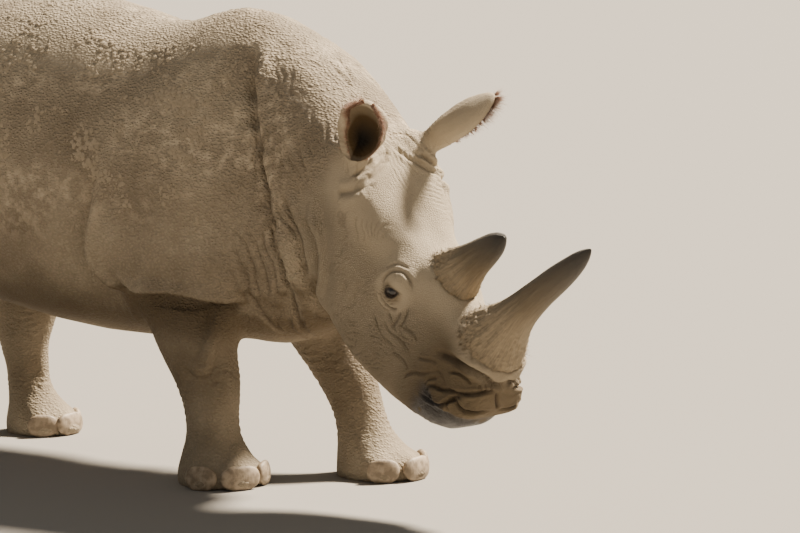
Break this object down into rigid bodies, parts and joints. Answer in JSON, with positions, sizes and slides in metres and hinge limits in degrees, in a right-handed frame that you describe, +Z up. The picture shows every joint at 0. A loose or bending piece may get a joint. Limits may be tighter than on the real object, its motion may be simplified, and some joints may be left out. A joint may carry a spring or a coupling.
{
  "type": "white rhinoceros",
  "caption": "Life-size still model of an adult white rhinoceros standing with its head lowered and turned a little to its right.",
  "frame": {"origin": "on the floor, under the middle of the whole box", "axes": "+X the way the animal faces, +Y its left, +Z up"},
  "size_m": [4.0944, 1.0766, 1.762],
  "materials": {
    "hide": "dry, wrinkled grey-tan hide dusted with dried mud",
    "horn": "rough fibrous keratin, smoother and darker at the tip",
    "nail": "dusty keratin",
    "eye": "wet, dark brown",
    "tail_hair": "coarse dark hair"
  },
  "bodies": {
    "root": {"trunk": "hide", "neck": "hide", "head": "hide", "lower_jaw": "hide", "ear_left": "hide", "ear_right": "hide", "fore_right_upper": "hide", "fore_right_lower": "hide", "fore_right_foot": "hide", "fore_left_upper": "hide", "fore_left_lower": "hide", "fore_left_foot": "hide", "hind_right_upper": "hide", "hind_right_lower": "hide", "hind_right_foot": "hide", "hind_left_upper": "hide", "hind_left_lower": "hide", "hind_left_foot": "hide", "tail": "hide", "horn_front": "horn", "horn_rear": "horn", "eye_left": "eye", "eye_right": "eye", "tail_tuft": "tail_hair", "nail_fore_right_inner": "nail", "nail_fore_right_middle": "nail", "nail_fore_right_outer": "nail", "nail_fore_left_inner": "nail", "nail_fore_left_middle": "nail", "nail_fore_left_outer": "nail", "nail_hind_right_inner": "nail", "nail_hind_right_middle": "nail", "nail_hind_right_outer": "nail", "nail_hind_left_inner": "nail", "nail_hind_left_middle": "nail", "nail_hind_left_outer": "nail"}
  },
  "joints": []
}
